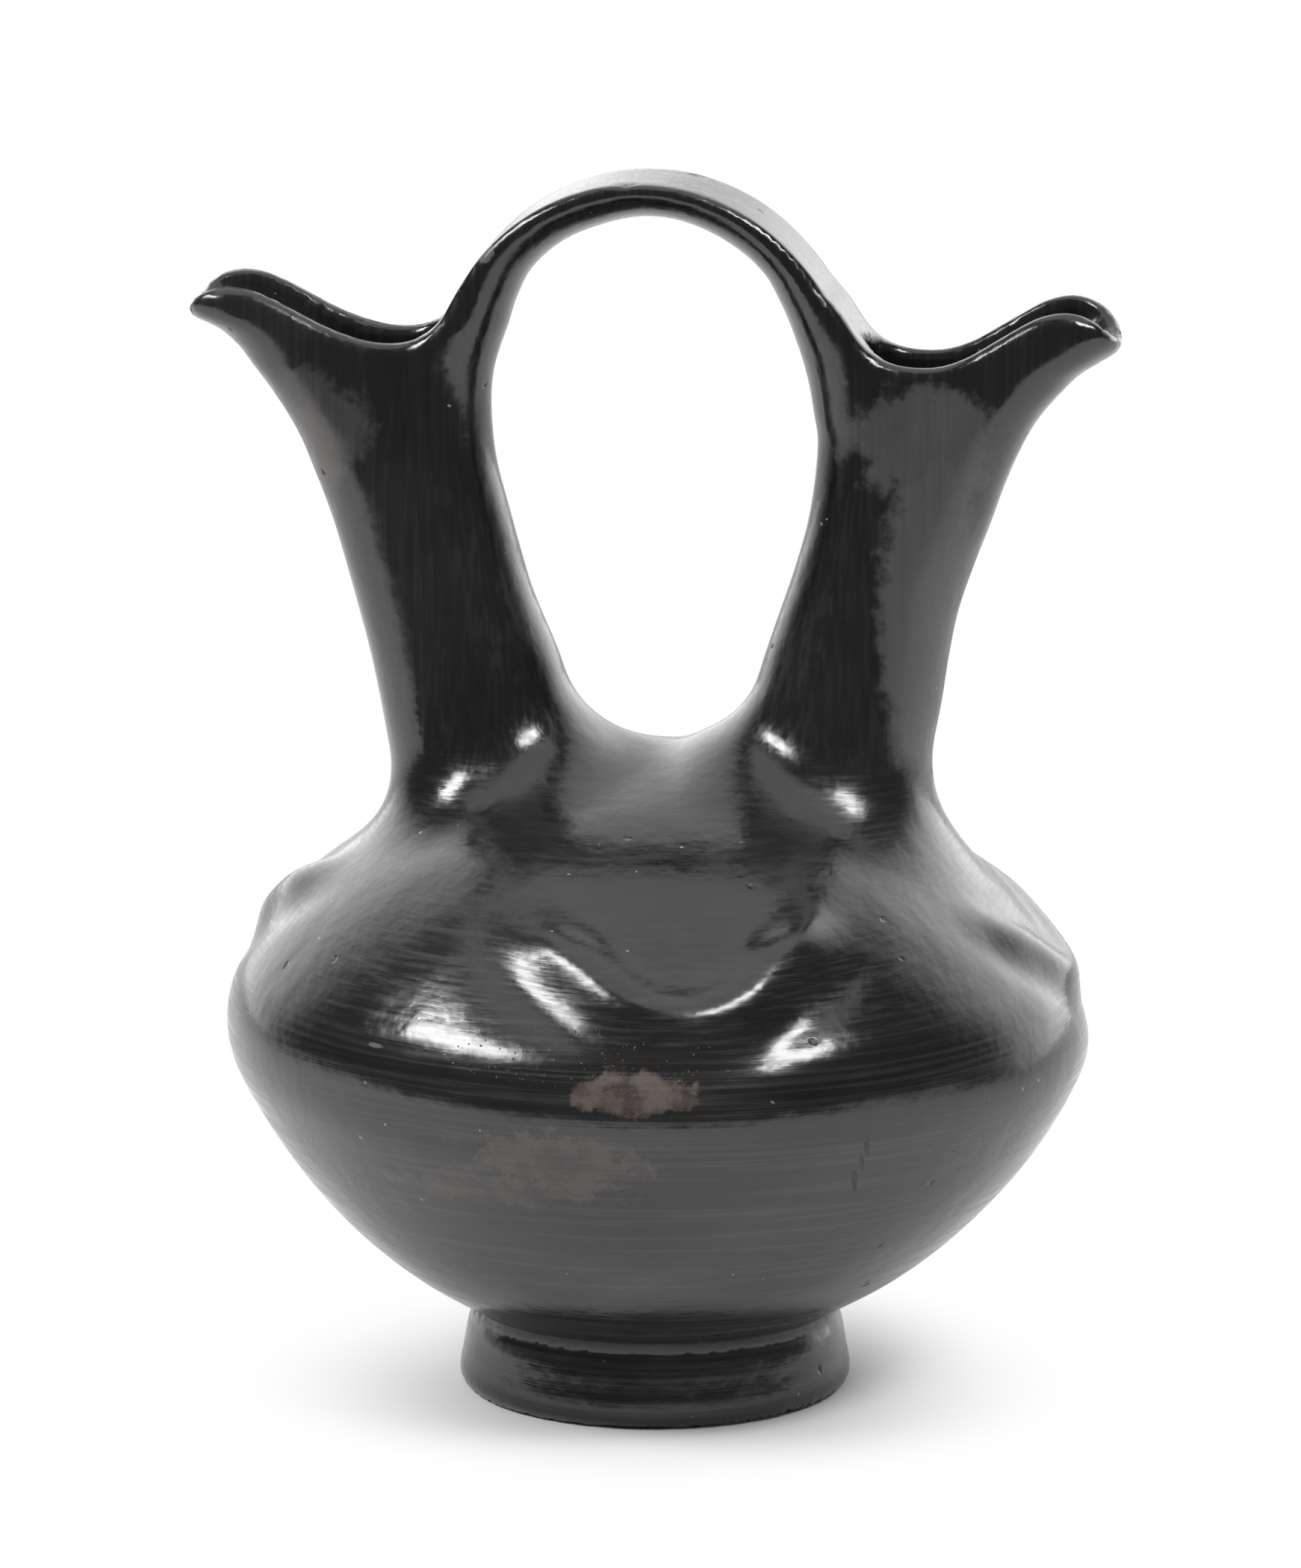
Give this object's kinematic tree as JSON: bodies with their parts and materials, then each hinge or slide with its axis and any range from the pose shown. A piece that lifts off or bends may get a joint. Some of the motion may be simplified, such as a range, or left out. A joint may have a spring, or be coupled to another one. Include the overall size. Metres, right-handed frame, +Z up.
{
  "type": "wedding vase",
  "caption": "Hand-built blackware wedding vase: a squat round body on a flared foot, leaning necks with pinched pouring spouts, an arched strap handle between them and relief swags.",
  "frame": {"origin": "middle of the foot's contact ring, on the table plane", "axes": "+Z up, the two necks lie along X, the front of the vase faces -Y"},
  "size_m": [0.2485, 0.2324, 0.3275],
  "materials": {
    "blackware": "burnished, semi-gloss"
  },
  "bodies": {
    "root": {"wedding_vase": "blackware"}
  },
  "joints": []
}
